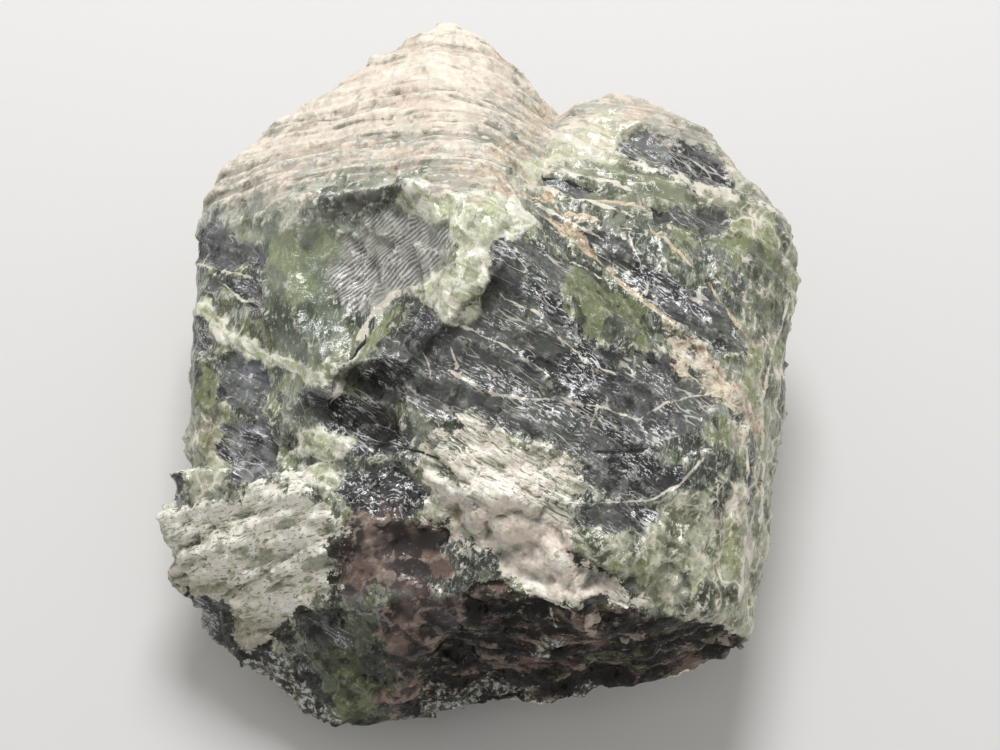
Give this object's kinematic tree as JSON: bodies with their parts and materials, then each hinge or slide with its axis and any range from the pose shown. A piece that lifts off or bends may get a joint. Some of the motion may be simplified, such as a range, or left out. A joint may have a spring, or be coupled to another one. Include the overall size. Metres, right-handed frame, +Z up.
{
  "type": "rough apatite specimen",
  "caption": "Rough lump of green apatite: intergrown crystals with stepped faces, a bladed corner, a broken front and a flat underside to rest on.",
  "frame": {"origin": "middle of the footprint, on the surface the lump rests on", "axes": "+Z up, +Y along the crystals' length towards the pointed end, +X across the two crystals towards the smaller one"},
  "size_m": [0.0456, 0.0504, 0.0266],
  "materials": {
    "apatite": "glassy green to charcoal fracture faces under cream, matte growth steps"
  },
  "bodies": {
    "root": {"apatite_crystals": "apatite"}
  },
  "joints": []
}
